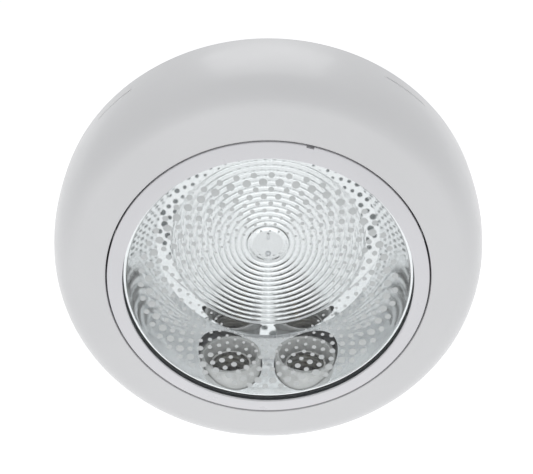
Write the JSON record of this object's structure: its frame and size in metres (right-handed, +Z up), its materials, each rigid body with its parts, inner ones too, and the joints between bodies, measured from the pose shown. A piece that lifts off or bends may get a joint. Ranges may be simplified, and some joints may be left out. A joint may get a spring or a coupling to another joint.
{
  "type": "luminaire",
  "caption": "Round surface-mounted luminaire: domed white housing, pull-out trim ring with dotted glass, aluminium reflector and side-by-side screw lampholders on a back plate",
  "frame": {"origin": "centre of the flat back of the back plate, on the wall", "axes": "+Y points into the wall, the light faces -Y, +Z is up the wall, +X is to the right seen from in front"},
  "size_m": [0.315, 0.0723, 0.315],
  "materials": {
    "housing_paint": "smooth white powder coat",
    "trim_paint": "smooth white powder coat, slightly cooler than the housing",
    "clear_glass": "clear toughened glass with grey printed dots",
    "gasket_rubber": "dark grey rubber channel",
    "reflector_aluminium": "bright rolled aluminium, semi-specular",
    "galvanised_steel": "galvanised sheet",
    "spring_steel": "rolled spring steel",
    "screw_steel": "zinc plated",
    "brass": "plain brass",
    "nickel": "nickel plated",
    "porcelain": "glazed porcelain white",
    "holder_plastic": "moulded heat-resistant plastic, light grey",
    "clamp_plastic": "natural nylon",
    "grommet_rubber": "black rubber",
    "brown_lead": "brown lead insulation",
    "blue_lead": "blue lead insulation",
    "green_lead": "green and yellow lead insulation"
  },
  "bodies": {
    "base": {"back_plate": "galvanised_steel", "bracket_screw_left": "screw_steel", "bracket_screw_right": "screw_steel", "cable_grommet": "grommet_rubber", "clamp_screw_left": "screw_steel", "clamp_screw_right": "screw_steel", "cord_clamp": "clamp_plastic", "earth_lead": "green_lead", "earth_nut": "brass", "earth_stud": "brass", "earth_tag": "nickel", "lampholder_bracket": "galvanised_steel", "lampholder_cap_left": "holder_plastic", "lampholder_cap_right": "holder_plastic", "lampholder_core_left": "porcelain", "lampholder_core_right": "porcelain", "lampholder_skirt_left": "holder_plastic", "lampholder_skirt_right": "holder_plastic", "latch_pin_left": "screw_steel", "latch_pin_right": "screw_steel", "latch_spring_left": "spring_steel", "latch_spring_right": "spring_steel", "live_lead_left": "brown_lead", "live_lead_right": "brown_lead", "neutral_lead_left": "blue_lead", "neutral_lead_right": "blue_lead", "reflector_bracket": "galvanised_steel", "reflector_cone": "reflector_aluminium", "reflector_screw": "screw_steel", "reflector_top": "reflector_aluminium", "screw_shell_left": "nickel", "screw_shell_right": "nickel", "terminal_block": "porcelain", "terminal_screw_earth": "screw_steel", "terminal_screw_live": "screw_steel", "terminal_screw_neutral": "screw_steel", "terminal_sleeve_earth": "brass", "terminal_sleeve_live": "brass", "terminal_sleeve_neutral": "brass"},
    "housing": {"housing_shell": "housing_paint"},
    "trim": {"trim_ring": "trim_paint", "glass_disc": "clear_glass", "glass_gasket": "gasket_rubber", "glass_clip_1": "spring_steel", "glass_clip_2": "spring_steel", "glass_clip_3": "spring_steel", "clip_screw_1": "screw_steel", "clip_screw_2": "screw_steel", "clip_screw_3": "screw_steel", "trim_spring_1": "spring_steel", "trim_spring_2": "spring_steel", "trim_spring_3": "spring_steel", "trim_spring_4": "spring_steel"},
    "latch_left": {"latch_left": "spring_steel"},
    "latch_right": {"latch_right": "spring_steel"},
    "contact_left": {"centre_contact_left": "brass"},
    "contact_right": {"centre_contact_right": "brass"}
  },
  "joints": [
    {"name": "housing_lift", "type": "slide", "parent": "base", "child": "housing", "axis": [0, -1, 0], "range_m": [0, 0.09]},
    {"name": "trim_pull", "type": "slide", "parent": "housing", "child": "trim", "axis": [0, -1, 0], "range_m": [0, 0.06]},
    {"name": "latch_left_tip", "type": "hinge", "parent": "base", "child": "latch_left", "pos_m": [-0.09661, -0.0065, 0.10543], "axis": [0.7373, 0, 0.6756], "range_deg": [0, 8], "stiffness_Nm_per_rad": 0.3, "springref_deg": -5.73},
    {"name": "latch_right_tip", "type": "hinge", "parent": "base", "child": "latch_right", "pos_m": [0.08566, -0.0065, 0.1145], "axis": [0.8007, 0, -0.599], "range_deg": [0, 8], "stiffness_Nm_per_rad": 0.3, "springref_deg": -5.73},
    {"name": "contact_left_press", "type": "slide", "parent": "base", "child": "contact_left", "axis": [0, 0, -1], "range_m": [0, 0.0011], "stiffness_N_per_m": 1500, "springref_m": -0.001},
    {"name": "contact_right_press", "type": "slide", "parent": "base", "child": "contact_right", "axis": [0, 0, -1], "range_m": [0, 0.0011], "stiffness_N_per_m": 1500, "springref_m": -0.001}
  ]
}
